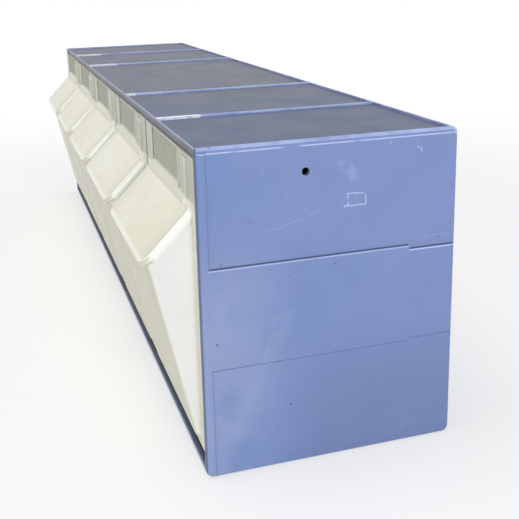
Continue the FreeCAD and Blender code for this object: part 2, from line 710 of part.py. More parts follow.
def check_and_export(bodies):
    DOC.recompute()
    for thing in DOC.Objects:
        if "Invalid" in thing.State or "Error" in thing.State:
            raise ValueError(f"{thing.Label} is {thing.State}")
    os.makedirs("parts", exist_ok=True)
    for body in bodies:
        shape = body.Shape
        if shape.isNull() or not shape.isValid() or len(shape.Solids) != 1:
            raise ValueError(f"{body.Label} has no single valid solid")
    for body in bodies:
        box = body.Shape.BoundBox
        print(f"{body.Label}: {box.XLength:.1f} x {box.YLength:.1f} x {box.ZLength:.1f} mm,"
              f" {body.Shape.Volume / 1000:.1f} cm3, {len(body.Shape.Faces)} faces")
        body.Shape.exportStep(f"parts/{body.Label}.step")


BODIES = [make_housing()]
for number in range(BIN_COUNT):
    BODIES.append(make_bin(number))
    BODIES.append(make_card(number))
check_and_export(BODIES)
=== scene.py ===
# %% [markdown]
# # A tilt-bin storage unit, finished in Blender
# The unit is one long moulded housing with five bins that tilt out at the front. Its solid
# shapes come ready made from the CAD model, as a fixed frame. This lesson gives them their
# plastics, their paper labels and the marks of years of use, and sets them on a pale floor
# in soft light. Across is X, depth is Y with the front at its low end, and height is Z.

# %% Load the frame
import bpy
from mathutils import Matrix, Vector


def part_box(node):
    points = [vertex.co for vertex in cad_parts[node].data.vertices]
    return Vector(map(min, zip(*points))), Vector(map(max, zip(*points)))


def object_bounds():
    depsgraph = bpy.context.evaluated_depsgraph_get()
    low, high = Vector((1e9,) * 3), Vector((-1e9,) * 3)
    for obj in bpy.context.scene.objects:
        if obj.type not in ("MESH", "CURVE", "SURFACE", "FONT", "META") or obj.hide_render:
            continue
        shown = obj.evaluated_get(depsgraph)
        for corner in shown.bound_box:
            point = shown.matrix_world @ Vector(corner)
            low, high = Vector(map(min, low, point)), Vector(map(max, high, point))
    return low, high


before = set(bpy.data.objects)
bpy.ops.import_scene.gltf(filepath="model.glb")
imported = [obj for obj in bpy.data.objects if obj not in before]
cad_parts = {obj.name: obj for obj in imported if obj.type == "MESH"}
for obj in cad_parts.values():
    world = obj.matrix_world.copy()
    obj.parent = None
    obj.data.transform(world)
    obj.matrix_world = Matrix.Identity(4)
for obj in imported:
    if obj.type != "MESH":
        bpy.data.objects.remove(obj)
CAD_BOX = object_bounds()
UNIT_LOW, UNIT_HIGH = CAD_BOX
MM = 0.001
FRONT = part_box("housing")[0].y
print("unit box", [round(v, 4) for v in UNIT_LOW], [round(v, 4) for v in UNIT_HIGH])

# %% [markdown]
# ## Camera
# The camera stands off the right end, a little above the top, and looks along the row of bins.
# A camera's aim is a rotation matrix whose columns are its right, its up and its back. Two of
# them are chosen, and cross products give the rest, so that all three stay square to each other.

# %% Camera: place and aim
CAMERA_AT = Vector((0.64946, -0.14857, 0.23963))
CAMERA_RIGHT = Vector((0.291838, 0.956090, -0.026899)).normalized()
CAMERA_AHEAD = Vector((-0.931377, 0.277670, -0.235450)).normalized()
camera_back = -CAMERA_AHEAD
camera_up = camera_back.cross(CAMERA_RIGHT).normalized()
camera_right = camera_up.cross(camera_back)
turn = Matrix((camera_right, camera_up, camera_back)).transposed()
print("camera looks along", [round(v, 3) for v in CAMERA_AHEAD])

# %% [markdown]
# The lens is a short telephoto. The shift slides the picture on the sensor, as a view camera
# does, without turning the camera, so that upright edges keep their slant. Both shifts are
# parts of the picture's width.

# %% Camera: lens
SENSOR_WIDTH = 36.0
FOCAL_LENGTH = 57.453
SHIFT_ACROSS, SHIFT_UP = 0.03247, -0.16219
NEAREST, FURTHEST = 0.01, 30.0
camera_data = bpy.data.cameras.new("row_camera")
camera_data.sensor_width = SENSOR_WIDTH
camera_data.lens = FOCAL_LENGTH
camera_data.shift_x, camera_data.shift_y = SHIFT_ACROSS, SHIFT_UP
camera_data.clip_start, camera_data.clip_end = NEAREST, FURTHEST
camera = bpy.data.objects.new("row_camera", camera_data)
camera.matrix_world = Matrix.Translation(CAMERA_AT) @ turn.to_4x4()
bpy.context.scene.collection.objects.link(camera)
bpy.context.scene.camera = camera
print("lens", FOCAL_LENGTH, "mm on a sensor", SENSOR_WIDTH, "mm wide")

# %% [markdown]
# ## Sums made of shader nodes
# A material is a network of nodes, and a network of sums is slow to wire by hand and hard to
# read. The class below wraps one output socket. A sum written with it, such as `1 - dust * 0.4`,
# adds the Math nodes that it needs, so that a finish reads like the recipe that it is.

# %% A socket that works in sums
class Wire:
    """One output of a shader node."""

    def __init__(self, tree, socket):
        self.tree, self.socket = tree, socket

    def node(self, kind, settings=None, inputs=None, out=0):
        """Adds any node: its settings first, then the values or wires of its sockets."""
        made = self.tree.nodes.new(kind)
        for name, value in (settings or {}).items():
            setattr(made, name, value)
        for name, value in (inputs or {}).items():
            if isinstance(value, Wire):
                self.tree.links.new(value.socket, made.inputs[name])
            else:
                made.inputs[name].default_value = value
        return Wire(self.tree, made.outputs[out])

    def math(self, operation, *values):
        """A sum on numbers."""
        return self.node("ShaderNodeMath", {"operation": operation}, dict(enumerate(values)))

    def vector(self, operation, *values, out=0):
        """A sum on places or directions."""
        settings = {"operation": operation}
        return self.node("ShaderNodeVectorMath", settings, dict(enumerate(values)), out)

    def __add__(self, other):
        return self.math("ADD", self, other)

    def __radd__(self, other):
        return self.math("ADD", other, self)

    def __sub__(self, other):
        return self.math("SUBTRACT", self, other)

    def __rsub__(self, other):
        return self.math("SUBTRACT", other, self)

    def __mul__(self, other):
        return self.math("MULTIPLY", self, other)

    def __rmul__(self, other):
        return self.math("MULTIPLY", other, self)

    def at_most(self, other):
        return self.math("MINIMUM", self, other)

    def at_least(self, other):
        return self.math("MAXIMUM", self, other)

    def rise(self, low, high):
        """0 up to low, 1 from high, a smooth climb between; it falls if low is above high."""
        return self.node("ShaderNodeMapRange", {"interpolation_type": "SMOOTHSTEP"},
                         {"Value": self, "From Min": low, "From Max": high})

    def blend(self, here, there):
        """The colour here where this wire is 0, and there where it is 1."""
        return self.node("ShaderNodeMix", {"data_type": "RGBA"}, {0: self, 6: here, 7: there}, 2)

    def axes(self):
        """The three numbers of a place or a direction."""
        split = self.node("ShaderNodeSeparateXYZ", {}, {0: self})
        return [Wire(self.tree, out) for out in split.socket.node.outputs]


print("a wire has", len([name for name in vars(Wire) if callable(vars(Wire)[name])]), "methods")

# %% [markdown]
# A colour is given as a paint chip quotes it, from 0 to 255. A shader counts in amounts of
# light instead, and the two are joined by a curve, because the eye is keener in the dark.
# Each finish starts from the coordinates of its own object, which stay with a bin when it tilts.

# %% Colours and new finishes
def colour(red, green, blue):
    """A colour of light, from the 0 to 255 that a paint chip is quoted in."""
    def level(part):
        part = part / 255
        return part / 12.92 if part <= 0.04045 else ((part + 0.055) / 1.055) ** 2.4
    return (level(red), level(green), level(blue), 1.0)


def new_finish(name):
    """A material, its Principled shader, and the wire of its own coordinates."""
    finish = bpy.data.materials.new(name)
    finish.use_nodes = True
    tree = finish.node_tree
    coordinates = tree.nodes.new("ShaderNodeTexCoord")
    return finish, tree.nodes["Principled BSDF"], Wire(tree, coordinates.outputs["Object"])


print("middle grey is", round(colour(128, 128, 128)[0], 3), "of white's light")

# %% [markdown]
# ## Floor, backdrop and light
# The floor is a broad sheet of white paper. Near the unit it glows by half and still takes the
# unit's shadow; further out it glows to a plain white for the camera and for reflections, and
# so does the room, so that no horizon shows. Light Path tells the rays of the camera from the
# rays that light the unit, and keeps that glow from lighting anything.

# %% Floor: a flat sheet
FLOOR_SIDE = 16.0
bpy.ops.object.select_all(action="DESELECT")
bpy.ops.mesh.primitive_plane_add(size=FLOOR_SIDE, location=(0, 0, UNIT_LOW.z))
floor = bpy.context.active_object
floor.name = "floor"
print("floor", floor.dimensions.x, "m square")

# %% Floor: paper that glows further out
WHITE = (1, 1, 1, 1)
PAPER = 0.93
GLOW_AT_UNIT = 0.55
GLOW_GROWS_FROM, GLOW_FULL_AT = 0.2, 0.9


def seen_rays(start):
    """1 for a ray of the camera, or one that glass or gloss sends on, and 0 for light."""
    path = start.node("ShaderNodeLightPath").socket.node
    camera_ray, glossy, through = [Wire(start.tree, path.outputs[name]) for name in
                                   ("Is Camera Ray", "Is Glossy Ray", "Is Transmission Ray")]
    return camera_ray.at_least(glossy).at_least(through)


paper, paper_shader, place = new_finish("floor_paper")
paper_shader.inputs["Base Color"].default_value = (PAPER, PAPER, PAPER, 1)
paper_shader.inputs["Roughness"].default_value = 0.9
paper_shader.inputs["Specular IOR Level"].default_value = 0.1
distance = place.vector("LENGTH", place, out=1)
glow = place.node("ShaderNodeEmission", {}, {"Color": WHITE, "Strength": 1.0})
growth = distance.rise(GLOW_GROWS_FROM, GLOW_FULL_AT) * (1 - GLOW_AT_UNIT)
whitened = (GLOW_AT_UNIT + growth) * seen_rays(place)
matt_paper = Wire(paper.node_tree, paper_shader.outputs[0])
mixed = place.node("ShaderNodeMixShader", {}, {0: whitened, 1: matt_paper, 2: glow})
paper.node_tree.links.new(mixed.socket, paper.node_tree.nodes["Material Output"].inputs["Surface"])
floor.data.materials.append(paper)
print("the paper is plain white", GLOW_FULL_AT, "m from the unit's middle")

# %% [markdown]
# The room is a dim, slightly blue sky that fills the shadows. What the camera and glossy
# surfaces see of it is plain white, by the same Light Path mask as on the floor.

# %% Room
SKY_BLUE = (0.95, 0.97, 1.0, 1)
SKY_STRENGTH = 0.3
world = bpy.data.worlds.new("room")
world.use_nodes = True
sky = world.node_tree.nodes["Background"]
sky.inputs["Color"].default_value = SKY_BLUE
sky.inputs["Strength"].default_value = SKY_STRENGTH
start = Wire(world.node_tree, sky.outputs[0])
white = start.node("ShaderNodeBackground", {}, {"Color": WHITE, "Strength": 1.0})
room = start.node("ShaderNodeMixShader", {}, {0: seen_rays(start), 1: start, 2: white})
world.node_tree.links.new(room.socket, world.node_tree.nodes["World Output"].inputs["Surface"])
bpy.context.scene.world = world
print("room light", SKY_STRENGTH)

# %% [markdown]
# Three broad square lamps light the unit. The warm one overhead lights the top and the scoops,
# the cool one at the right end lights the end face as a window would, and the weak one behind
# keeps the back and the left from going black. Broad lamps give soft shadows.

# %% Lamps
def softbox(name, place, target, size, power, tint):
    """A square lamp at a place, aimed at a target."""
    data = bpy.data.lights.new(name, "AREA")
    data.shape = "SQUARE"
    data.size = size
    data.energy = power
    data.color = tint
    light = bpy.data.objects.new(name, data)
    light.location = place
    light.rotation_euler = (Vector(target) - Vector(place)).to_track_quat("-Z", "Y").to_euler()
    bpy.context.scene.collection.objects.link(light)
    print(name, power, "W")


softbox("overhead", place=(0.0, -0.5, 1.7), target=(0, 0, 0.1),
        size=1.2, power=15, tint=(1.0, 0.98, 0.92))
softbox("window", place=(1.9, -0.35, 0.8), target=(0.1, 0, 0.1),
        size=1.2, power=19, tint=(0.94, 0.97, 1.0))
softbox("far_wall", place=(-0.7, 2.0, 0.6), target=(0, 0, 0.08),
        size=1.4, power=10, tint=(1.0, 1.0, 1.0))

# %% [markdown]
# ## Masks and layers
# A mask is a wire that goes from 0 to 1 over the surface, and a layer lays a paint over the
# colour so far where its mask is up. Noise read at the surface's own coordinates makes drifts,
# clouds and grain. A scratch is the level line of a noise that is drawn out along one
# direction, because a level line is thin, long and slightly curved, as a real one is.

# %% Noise, scratches and layers
def noise(place, size, detail, seed):
    """Soft noise whose blots are about this many millimetres across."""
    moved = place.vector("ADD", place, (seed, seed * 0.7, seed * 1.3))
    sockets = {"Vector": moved, "Scale": 1 / (size * MM), "Detail": detail, "Roughness": 0.55}
    return place.node("ShaderNodeTexNoise", {}, sockets)


DRAWN_OUT = 40


def hairlines(place, along, spacing, thin, patch, seed):
    """Scratches along one direction, in patches, about this many millimetres apart."""
    along = Vector(along).normalized()
    beside = along.orthogonal().normalized()
    over = along.cross(beside)
    draw = [place.vector("DOT_PRODUCT", place, tuple(axis * scale / (spacing * MM)), out=1)
            for axis, scale in ((along, 1 / DRAWN_OUT), (beside, 1.0), (over, 1.0))]
    spot = place.node("ShaderNodeCombineXYZ", {}, dict(enumerate(draw)))
    spot = spot.vector("ADD", spot, (seed, seed * 5, seed * 3))
    field = spot.node("ShaderNodeTexNoise", {}, {"Vector": spot, "Scale": 1.0, "Detail": 1.0})
    off_level = field - 0.5
    line = off_level.math("ABSOLUTE", off_level).rise(thin, 0.0)
    return line * noise(place, patch, 1.0, seed + 3).rise(0.52, 0.64)


def layer(base, mask, paint, strength=1.0):
    """The colour so far with a paint over it, where the mask is and as strong as is said."""
    laid = mask if strength == 1.0 else mask * strength
    return laid.blend(base, paint)


print("made", noise.__name__, hairlines.__name__, "and", layer.__name__,
      "- scratches are drawn out", DRAWN_OUT, "times")

# %% [markdown]
# An edge shows where the normal of a slightly rounded copy of the surface, which the Bevel node
# gives, parts from the normal of the surface itself. Ambient Occlusion finds the opposite: the
# inside corners, from which little of the sky can be seen.

# %% Edges, creases and directions
def edges(place, width):
    """The edges of a moulding, out to about this many millimetres."""
    normal = place.node("ShaderNodeNewGeometry", out="Normal")
    rounded = place.node("ShaderNodeBevel", {"samples": 6}, {"Radius": width * MM})
    return 1 - normal.vector("DOT_PRODUCT", normal, rounded, out=1)


def creases(place, reach):
    """Inside corners, which see little of the sky: shade falls there and dust settles."""
    open_sky = place.node("ShaderNodeAmbientOcclusion", {"samples": 8, "only_local": False},
                          {"Distance": reach * MM}, "AO")
    return 1 - open_sky


def facings(place):
    """How far the surface faces the front and upward, and 1 where it faces either side."""
    to_side, to_back, upward = place.node("ShaderNodeTexCoord", out="Normal").axes()
    sideways = to_side.math("ABSOLUTE", to_side).rise(0.5, 0.8)
    return to_back * -1, upward, sideways


print("made", edges.__name__, creases.__name__, "and", facings.__name__)

# %% [markdown]
# ## The housing's blue plastic
# The housing is a thick, grey-blue moulding with a satin skin. Its colour drifts a little
# between blue and violet, as pigment does in the melt, and a fine grain breaks it up. All of
# the housing is one recipe, so that its marks stay in step in colour, roughness and bump.

# %% Housing plastic: pigment
BLUE, VIOLET_BLUE = colour(116, 140, 190), colour(126, 143, 192)
CLOUDED_BLUE, DARK_GRAIN = colour(122, 136, 180), colour(100, 117, 165)
housing_finish, shader, place = new_finish("blue_plastic")
across, depth, height = place.axes()
to_front, upward, sideways = facings(place)
drift = noise(place, size=95, detail=2.0, seed=0.4).rise(0.36, 0.62)
base = drift.blend(BLUE, VIOLET_BLUE)
cloud = noise(place, size=26, detail=3.0, seed=1.1)
base = layer(base, cloud.rise(0.42, 0.7), CLOUDED_BLUE, strength=0.35)
grain = noise(place, size=1.6, detail=2.0, seed=0.2)
base = layer(base, grain.rise(0.45, 0.75), DARK_GRAIN, strength=0.1)
print("pigment takes", len(housing_finish.node_tree.nodes), "nodes")

# %% [markdown]
# Dust and painted shade grey the top, and show more on the sunk panels than on the rails between
# them, which are rubbed. To paint them apart, masks are made from heights, from depths and from
# the way that the surface faces, since each place on the housing is known to a tenth of a
# millimetre.

# %% Housing plastic: places on the moulding
TOP, RIGHT_END = UNIT_HIGH.z, UNIT_HIGH.x
END_EDGE = RIGHT_END - 2.5 * MM
rim = depth.rise(FRONT + 1.4 * MM, FRONT + 1.0 * MM)
raised = height.rise(TOP - 1.3 * MM, TOP - 1.1 * MM) * (1 - rim)
from_middle = across.math("ABSOLUTE", across)
between_ends = from_middle.rise(END_EDGE + 0.1 * MM, END_EDGE - 0.1 * MM)
top = upward.rise(0.6, 0.95) * (1 - raised)
forward = to_front.rise(0.6, 0.9)
front = forward * between_ends
print("the end edges start", round(END_EDGE, 4), "m from the middle")

# %% Housing plastic: dusty top, with painted shade
SHADED_DUST, WARM_SHADED_DUST, BLUE_SHADED_DUST = colour(92, 98, 116), colour(104, 107, 120), colour(84, 95, 122)
BLUER_FROM, BLUEST_AT = 0.06, 0.26
dust_and_shade_mottle = noise(place, size=40, detail=4.0, seed=2.2)
# dust and painted shade grey the top
shaded_dusty_top = dust_and_shade_mottle.rise(0.3, 0.7).blend(SHADED_DUST, WARM_SHADED_DUST)
shaded_dusty_top = layer(shaded_dusty_top, across.rise(BLUER_FROM, BLUEST_AT), BLUE_SHADED_DUST)
base = layer(base, top, shaded_dusty_top)
print("the top turns bluer from", BLUER_FROM, "m across")

# %% [markdown]
# The front edge of the housing is a rim above the bins and a sill below them. The rim's face is
# painted in grey shade, its top corner carries a painted highlight, and a painted shadow line runs
# along the foot of its face, over the gap above the bins' plates. The mouths of the cells, seen
# between the plates, are painted in shade.

# %% Housing plastic: front rim and sill
RIM_FOOT, LINE_TOP, SILL_TOP = 159 * MM, 162.3 * MM, 5.8 * MM
RIM_SHADE_GREY, CORNER_HIGHLIGHT = colour(90, 95, 112), colour(166, 174, 200)
GAP_SHADOW_BLACK, SILL_BLUE = colour(10, 12, 20), colour(92, 112, 164)
rim_face_shade = front * height.rise(RIM_FOOT - 1 * MM, RIM_FOOT + 1 * MM)
# painted shade on the rim's face
base = layer(base, rim_face_shade, RIM_SHADE_GREY)
rim_corner_highlight = rim * between_ends * height.rise(TOP - 0.5 * MM, TOP - 0.2 * MM)
# painted highlight along the rim's top corner
base = layer(base, rim_corner_highlight, CORNER_HIGHLIGHT, strength=0.7)
gap_shadow_line = front * height.rise(RIM_FOOT, RIM_FOOT + 1 * MM)
gap_shadow_line = gap_shadow_line * height.rise(LINE_TOP + 0.3 * MM, LINE_TOP - 0.3 * MM)
# painted shadow line along the foot of the rim's face, over the gap
base = layer(base, gap_shadow_line, GAP_SHADOW_BLACK)
sill = front * height.rise(SILL_TOP + 0.7 * MM, SILL_TOP)
base = layer(base, sill, SILL_BLUE)
print("the rim's face starts", round((TOP - RIM_FOOT) / MM, 1), "mm below the top")

# %% Housing plastic: dark cells and end edges
CELL_SHADE, EDGE_SHADE = colour(30, 35, 52), colour(86, 92, 112)
CELL_TOP = 160 * MM
inside = between_ends * depth.rise(FRONT + 1.8 * MM, FRONT + 2.4 * MM)
inside = inside * depth.rise(FRONT + 14 * MM, FRONT + 6 * MM)
base = layer(base, inside * height.rise(CELL_TOP + 0.5 * MM, CELL_TOP), CELL_SHADE)
end_edge = forward * (1 - between_ends)
base = layer(base, end_edge, EDGE_SHADE, strength=0.8)
print("the cells are dark up to", round(CELL_TOP / MM), "mm")

# %% [markdown]
# Rails cross the top between the panels. Units slide over them, so they are pale, and the wider
# heads at their front are rubbed white, the third from the left only at its tip. Their pale blue
# and white are also painted highlight. On the right half of the unit the white is patchy.

# %% Housing plastic: rails
RAIL_BLUE, RAIL_PALE_AND_HIGHLIGHT = colour(138, 153, 204), colour(166, 180, 226)
RUBBED_WHITE_AND_HIGHLIGHT = colour(248, 249, 255)
HEAD_END, SHORT_HEAD_END = FRONT + 26 * MM, FRONT + 7 * MM
rub_and_highlight_noise = noise(place, size=12, detail=3.0, seed=3.0).rise(0.35, 0.65)
# the rails' paler blue is wear and painted highlight
base = layer(base, raised, rub_and_highlight_noise.blend(RAIL_BLUE, RAIL_PALE_AND_HIGHLIGHT))
heads = raised * depth.rise(HEAD_END + 1 * MM, HEAD_END - 1 * MM)
heads = heads * from_middle.rise(RIGHT_END - 8 * MM, RIGHT_END - 9 * MM)
third_rail = across.rise(100 * MM, 101 * MM) * across.rise(113 * MM, 112 * MM)
heads = heads * (1 - third_rail * depth.rise(SHORT_HEAD_END - 1 * MM, SHORT_HEAD_END + 1 * MM))
patchy = noise(place, size=5, detail=2.0, seed=8.0).rise(0.25, 0.45)
patchy = patchy.at_least(across.rise(0.0, -10 * MM))
# the heads' white is wear and painted highlight
base = layer(base, heads * patchy, RUBBED_WHITE_AND_HIGHLIGHT)
print("the rails' heads are", round((HEAD_END - FRONT) / MM), "mm long")

# %% [markdown]
# Edges are rubbed pale in stretches, with painted highlight laid in the same pale, and grime and
# painted shade darken the creases. On the ends, a paler patch lies towards the front and a darker
# one low down.

# %% Housing plastic: worn and highlit edges, grime and shade in creases, patches
WORN_PALE_AND_HIGHLIGHT, GRIME_AND_SHADE_BLUE = colour(190, 202, 234), colour(52, 62, 98)
FRONT_PATCH_PALE, LOW_BLUE = colour(152, 164, 200), colour(106, 122, 166)
worn_and_highlit = (edges(place, width=0.45) * 6).at_most(1)
worn_and_highlit = worn_and_highlit * noise(place, size=9, detail=3.0, seed=4.0).rise(0.2, 0.6)
# pale wear and painted highlight along the edges
base = layer(base, worn_and_highlit, WORN_PALE_AND_HIGHLIGHT, strength=0.7)
grime_and_shade = creases(place, reach=1.8).rise(0.3, 0.8)
# grime and painted shade in the creases
base = layer(base, grime_and_shade, GRIME_AND_SHADE_BLUE, strength=0.6)
front_pale_patch = depth.rise(-12 * MM, -60 * MM) * height.rise(125 * MM, 90 * MM)
front_pale_patch = front_pale_patch * noise(place, size=30, detail=3.0, seed=6.5).rise(0.3, 0.6)
# a paler patch towards the front of the ends
base = layer(base, front_pale_patch * sideways, FRONT_PATCH_PALE, strength=0.6)
low = height.rise(80 * MM, 30 * MM) * depth.rise(-45 * MM, 0.0)
base = layer(base, low * sideways, LOW_BLUE, strength=0.5)
print("wear brings it to", len(housing_finish.node_tree.nodes), "nodes")

# %% [markdown]
# Each end has a band across its middle, with a panel above and below it, and both seams take a
# small jog towards the back. The steps are shallow and catch little light of their own, so a
# painted shadow line is laid in each, with a painted highlight where the band's top edge faces up.

# %% Housing plastic: painted highlights on the edges of the ends
LIP_FOOT, LIP_TOP, CROWN = 162.2 * MM, 162.5 * MM, 164.6 * MM
LIP_HIGHLIGHT_PALE = colour(206, 215, 246)
lip = height.rise(LIP_FOOT - 0.3 * MM, LIP_FOOT) * height.rise(LIP_TOP + 0.3 * MM, LIP_TOP)
lip = lip * depth.rise(FRONT + 1 * MM, FRONT + 2 * MM)
lip = lip.at_least(height.rise(CROWN - 0.4 * MM, CROWN)) * sideways
lip = lip * noise(place, size=14, detail=3.0, seed=2.0).rise(0.3, 0.5)
# painted highlight along the lip and the crown of the ends
base = layer(base, lip, LIP_HIGHLIGHT_PALE, strength=0.75)
print("a bright lip runs", round((TOP - LIP_TOP) / MM, 1), "mm below the top")

# %% Housing plastic: seams of the end panels
BAND_FOOT, BAND_TOP = 57.3 * MM, 107.5 * MM
JOG = 40.5 * MM
SEAM_SHADOW, SEAM_HIGHLIGHT = colour(50, 62, 112), colour(196, 208, 246)
LOW_SEAM_SHADOW, FRONT_SEAM_SHADOW = colour(78, 92, 142), colour(84, 100, 152)
panels = depth.rise(FRONT + 4.2 * MM, FRONT + 4.7 * MM) * sideways
past_jog = depth.rise(JOG - 0.1 * MM, JOG + 0.1 * MM)
above = height - (BAND_TOP - past_jog * (2 * MM))
seam = above.rise(-0.1 * MM, 0.1 * MM) * above.rise(0.8 * MM, 0.4 * MM)
# painted shadow line under the upper panel
base = layer(base, seam * panels, SEAM_SHADOW, strength=0.75)
shine = above.rise(-1.0 * MM, -0.6 * MM) * above.rise(0.0, -0.2 * MM)
# painted highlight along the band's top edge
base = layer(base, shine * panels * (0.5 + past_jog * 0.35), SEAM_HIGHLIGHT)
beneath = height - (BAND_FOOT + past_jog * (1 * MM))
seam = beneath.rise(-1.1 * MM, -0.7 * MM) * beneath.rise(0.1 * MM, -0.1 * MM)
# painted shadow line at the band's foot
base = layer(base, seam * panels, LOW_SEAM_SHADOW, strength=0.75)
seam = depth.rise(FRONT + 4.3 * MM, FRONT + 4.6 * MM)
seam = seam * depth.rise(FRONT + 5.3 * MM, FRONT + 4.9 * MM) * sideways
seam = seam * above.rise(0.0, 0.5 * MM).at_least(beneath.rise(0.0, -0.5 * MM))
# painted shadow line along the front seam
base = layer(base, seam, FRONT_SEAM_SHADOW, strength=0.45)
print("the band is", round((BAND_TOP - BAND_FOOT) / MM, 1), "mm high in front of the jog")

# %% [markdown]
# ## Marks of handling
# Fine scratches run along the top, and two ways over the ends. The right end also has marks of its
# own: one long curved scratch, the gum line that a peeled sticker left, two painted glints, a worn
# top-back corner, rubs, a smear, a faint painted reflection in a diagonal streak and a few spots.
# Each is drawn as strokes from place to place, given across the end and up it in millimetres. A
# stroke is the distance to a line, turned into a mask.

# %% Strokes
def stroke(place, start, end, width):
    """A straight mark on the right end, between two places on it."""
    first = Vector((UNIT_HIGH.x, start[0] * MM, start[1] * MM))
    run = Vector((UNIT_HIGH.x, end[0] * MM, end[1] * MM)) - first
    away = place.vector("SUBTRACT", place, tuple(first))
    away = away.vector("MULTIPLY", away, (0.0, 1.0, 1.0))
    along = away.vector("DOT_PRODUCT", away, tuple(run / run.length_squared), out=1)
    foot = along.node("ShaderNodeClamp", {}, {"Value": along})
    reached = foot.node("ShaderNodeVectorMath", {"operation": "SCALE"},
                        {0: tuple(run), "Scale": foot})
    beside = away.vector("SUBTRACT", away, reached)
    return beside.vector("LENGTH", beside, out=1).rise(width * MM, 0.3 * width * MM)


def strokes(place, points, width):
    """Marks from point to point, joined up."""
    drawn = stroke(place, points[0], points[1], width)
    for start, end in zip(points[1:], points[2:]):
        drawn = drawn.at_least(stroke(place, start, end, width))
    return drawn


right_end = across.rise(RIGHT_END - 2 * MM, RIGHT_END - 1.5 * MM) * sideways
print("the right end is masked from", round(RIGHT_END - 2 * MM, 4), "m across")

# %% Housing plastic: fine scratches
fine = hairlines(place, along=(1.0, 0.12, 0.0), spacing=8, thin=0.012, patch=70, seed=0.3)
fine = fine * (1 - sideways)
slanting = hairlines(place, along=(0.0, 0.9, 0.35), spacing=5, thin=0.005, patch=26, seed=1.7)
upright = hairlines(place, along=(0.0, 0.25, 1.0), spacing=6, thin=0.004, patch=24, seed=2.9)
fine = fine.at_least(slanting.at_least(upright) * sideways)
print("scratches bring it to", len(housing_finish.node_tree.nodes), "nodes")

# %% Housing plastic: long scratch and gum line
LONG_SCRATCH = [(-33.0, 122.9), (-24.5, 124.8), (-16.9, 127.0), (-6.8, 130.2)]
GUM_LINE = [(8.0, 131.0), (7.6, 137.2), (17.0, 136.8), (17.2, 131.1), (8.0, 131.0)]
GUM_TAIL = [(6.0, 131.0), (8.0, 131.6)]
broken = noise(place, size=2.5, detail=2.0, seed=5.0)
long_scratch = strokes(place, LONG_SCRATCH, width=0.35) * broken.rise(0.38, 0.55)
gum = strokes(place, GUM_LINE, width=0.5).at_least(strokes(place, GUM_TAIL, width=0.7))
gum = gum * broken.rise(0.3, 0.52)
print("long scratch with", len(LONG_SCRATCH), "points, gum line with", len(GUM_LINE))

# %% Housing plastic: painted glints, a worn corner and rubs
GLINTS_AND_WORN_CORNER = [([(44.3, 156.8), (46.2, 156.1), (46.8, 154.3)], 0.4),
         ([(29.6, 159.7), (30.6, 160.6)], 0.4),
         ([(64.6, 163.0), (66.5, 161.0)], 1.3)]
HIGH_RUB = [(49.0, 111.1), (57.0, 111.3), (66.5, 110.8)]
LOW_RUB = [(-58.5, 49.7), (-51.8, 43.2), (-37.7, 37.9)]
# two painted glints near the top of the right end, then its worn top-back corner
glints_and_worn_corner = strokes(place, *GLINTS_AND_WORN_CORNER[0])
for points, width in GLINTS_AND_WORN_CORNER[1:]:
    glints_and_worn_corner = glints_and_worn_corner.at_least(strokes(place, points, width))
rubs = strokes(place, HIGH_RUB, width=0.35) * broken.rise(0.45, 0.6)
rubs = rubs.at_least(strokes(place, LOW_RUB, width=0.35) * 0.35)
print(len(GLINTS_AND_WORN_CORNER), "nicks, 2 rubs")

# %% Housing plastic: pale marks laid on
WEAR_AND_GLINT_PALE = colour(205, 214, 240)
handling_and_glints = long_scratch * 0.22
for mark, strength in ((gum, 0.6), (glints_and_worn_corner, 0.45), (rubs, 0.28)):
    handling_and_glints = handling_and_glints.at_least(mark * strength)
pale_wear_and_glints = (fine * 0.1).at_least(handling_and_glints * right_end)
# pale wear, with the painted glints, laid over the colour
base = layer(base, pale_wear_and_glints, WEAR_AND_GLINT_PALE)
print("marks bring it to", len(housing_finish.node_tree.nodes), "nodes")

# %% Housing plastic: smear, painted reflection streak and spots
SMEAR = [(4.9, 152.0), (10.5, 145.7)]
REFLECTED_STREAK = [(-22.6, 80.1), (-32.1, 62.9), (-50.3, 25.8)]
SPOTS = [[(-59.4, 70.5), (-59.2, 70.1)], [(-22.7, 32.4), (-22.2, 32.2)]]
FAINT_SPOT = [(-41.5, 128.9), (-40.5, 128.5)]
SMEAR_PALE, REFLECTION_PALE = colour(190, 198, 226), colour(176, 186, 222)
SPOT_DARK = colour(48, 54, 78)
smear = strokes(place, SMEAR, width=4.5) * right_end
smear = smear * noise(place, size=4, detail=3.0, seed=7.0).rise(0.35, 0.65)
base = layer(base, smear, SMEAR_PALE, strength=0.22)
# a faint painted reflection: a soft diagonal streak of light on the lower panel
reflected_streak = strokes(place, REFLECTED_STREAK, width=5.0) * right_end
base = layer(base, reflected_streak, REFLECTION_PALE, strength=0.08)
specks = noise(place, size=3.4, detail=0.0, seed=9.0).rise(0.86, 0.89)
spots = strokes(place, SPOTS[0], width=0.6).at_least(strokes(place, SPOTS[1], width=0.6))
spots = spots.at_least(strokes(place, FAINT_SPOT, width=2.2) * 0.12)
specks = (specks * 0.7).at_least(spots * right_end)
base = layer(base, specks, SPOT_DARK, strength=0.8)
print("the housing's colour takes", len(housing_finish.node_tree.nodes), "nodes")

# %% [markdown]
# The same masks now set the gloss and the relief. Dust, scratches and grime are duller than
# clean plastic, so they raise the roughness. In the relief a scratch goes down and gum stands up.

# %% Housing plastic: gloss and relief
def wire_up(shader, base, roughness, relief, step, strength):
    """Joins a finish's wires to its shader; relief stands up by about step millimetres."""
    sockets = {"Height": relief, "Distance": step * MM, "Strength": strength}
    bump = relief.node("ShaderNodeBump", {}, sockets)
    for name, wire in (("Base Color", base), ("Roughness", roughness), ("Normal", bump)):
        wire.tree.links.new(wire.socket, shader.inputs[name])


